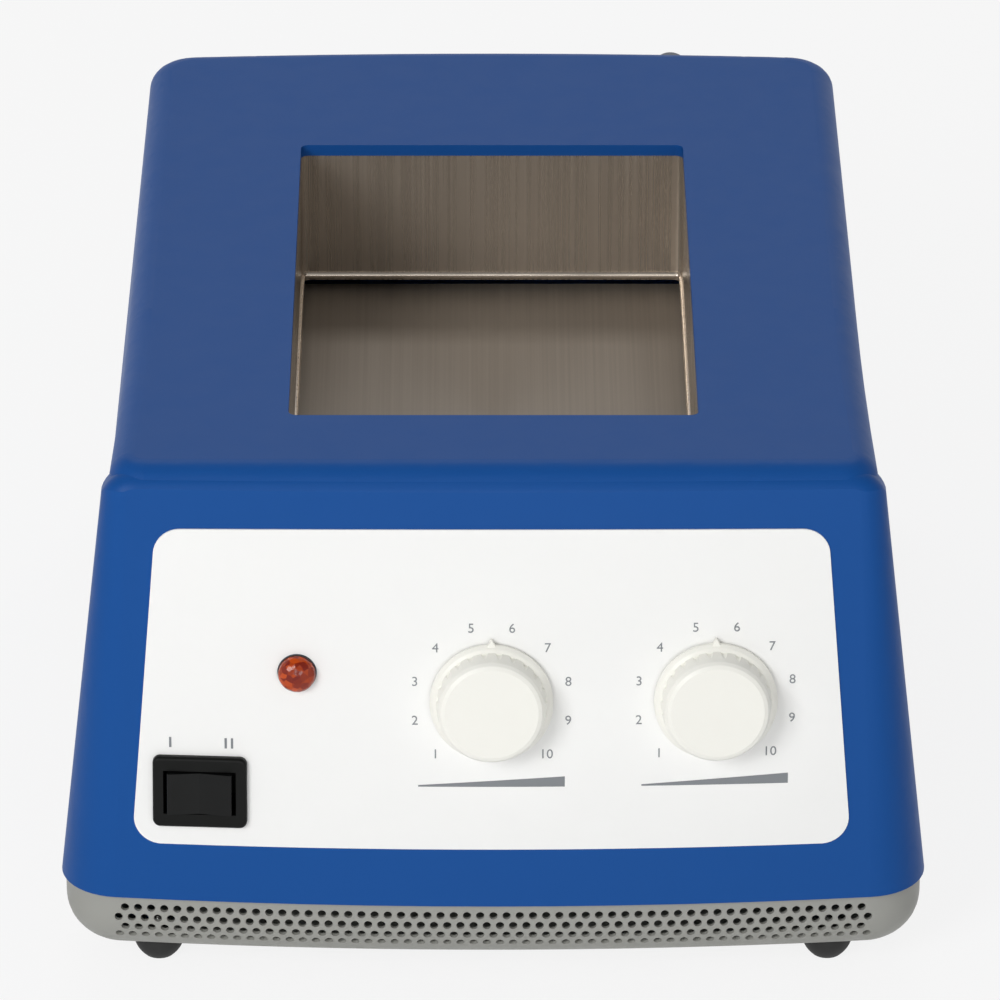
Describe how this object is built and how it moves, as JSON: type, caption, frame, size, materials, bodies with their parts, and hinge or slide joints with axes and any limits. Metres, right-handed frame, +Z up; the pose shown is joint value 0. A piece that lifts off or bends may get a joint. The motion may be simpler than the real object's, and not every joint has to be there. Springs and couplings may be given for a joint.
{
  "type": "block heater",
  "caption": "Bench dry block heater: box with an open steel-lined well in its top, a steep front panel with round dials, a lamp and a rocker switch, on a perforated pan with rubber feet.",
  "frame": {"origin": "middle of the footprint, on the table under the feet", "axes": "+X to the user's right, +Y to the rear, +Z up"},
  "size_m": [0.2088, 0.2722, 0.1341],
  "materials": {
    "cover_blue": "satin moulded blue",
    "label_white": "printed film overlay",
    "pan_grey": "warm grey paint",
    "liner_steel": "brushed stainless",
    "plate_metal": "brushed plate",
    "element_silicone": "orange silicone mat",
    "insulation_fibre": "ceramic fibre",
    "zinc_steel": "zinc plated",
    "ceramic_white": "unglazed steatite",
    "screw_steel": "zinc plated",
    "cutout_phenolic": "phenolic body",
    "sensor_steel": "stainless sheath",
    "pot_metal": "plated can",
    "nut_steel": "nickel plated",
    "spindle_brass": "turned",
    "knob_white": "off-white moulding",
    "switch_black": "black moulding",
    "rocker_black": "black moulding",
    "contact_brass": "plated tags",
    "lens_red": "red-orange lens",
    "lamp_black": "black moulding",
    "clip_steel": "spring steel",
    "board_green": "circuit board",
    "standoff_brass": "turned",
    "transformer_black": "potted",
    "triac_black": "moulded package",
    "heatsink_aluminium": "extruded",
    "fuse_holder_black": "black moulding",
    "fuse_glass": "glass body",
    "terminal_green": "green moulding",
    "inlet_black": "black moulding",
    "pin_nickel": "nickel plated",
    "earth_brass": "turned",
    "foot_rubber": "dark rubber",
    "plug_grey": "grey moulding"
  },
  "bodies": {
    "body": {"top_cover": "cover_blue", "front_label": "label_white", "base_pan": "pan_grey", "well_liner": "liner_steel", "heater_plate": "plate_metal", "heating_element": "element_silicone", "insulation_pad": "insulation_fibre", "heater_tray": "zinc_steel", "tray_spacers": "ceramic_white", "plate_screws": "screw_steel", "tray_screws": "screw_steel", "thermal_cutout": "cutout_phenolic", "plate_sensor": "sensor_steel", "pot_low": "pot_metal", "pot_high": "pot_metal", "pot_nuts": "nut_steel", "switch_body": "switch_black", "switch_contacts": "contact_brass", "lamp_lens": "lens_red", "lamp_body": "lamp_black", "lamp_clip": "clip_steel", "control_board": "board_green", "board_standoffs": "standoff_brass", "board_screws": "screw_steel", "transformer": "transformer_black", "triac": "triac_black", "heatsink": "heatsink_aluminium", "fuse_holder": "fuse_holder_black", "fuse": "fuse_glass", "terminal_block": "terminal_green", "mains_inlet": "inlet_black", "inlet_pins": "pin_nickel", "inlet_screws": "screw_steel", "inlet_nuts": "nut_steel", "earth_stud": "earth_brass", "earth_nuts": "earth_brass", "rubber_feet": "foot_rubber", "foot_screws": "screw_steel", "cover_screws": "screw_steel", "rear_plug": "plug_grey"},
    "low_dial": {"knob_low": "knob_white", "spindle_low": "spindle_brass"},
    "high_dial": {"knob_high": "knob_white", "spindle_high": "spindle_brass"},
    "rocker": {"switch_rocker": "rocker_black"}
  },
  "joints": [
    {"name": "low_dial_turn", "type": "hinge", "parent": "body", "child": "low_dial", "pos_m": [-0.0005, -0.12565, 0.0768], "axis": [-0.0003, -0.9903, 0.1392], "range_deg": [-135, 135]},
    {"name": "high_dial_turn", "type": "hinge", "parent": "body", "child": "high_dial", "pos_m": [0.0528, -0.12484, 0.0768], "axis": [0.0307, -0.9916, 0.1257], "range_deg": [-135, 135]},
    {"name": "rocker_tilt", "type": "hinge", "parent": "body", "child": "rocker", "pos_m": [-0.06999, -0.12499, 0.05292], "axis": [0.0066, 0.1159, 0.9932], "range_deg": [-8, 8]}
  ]
}
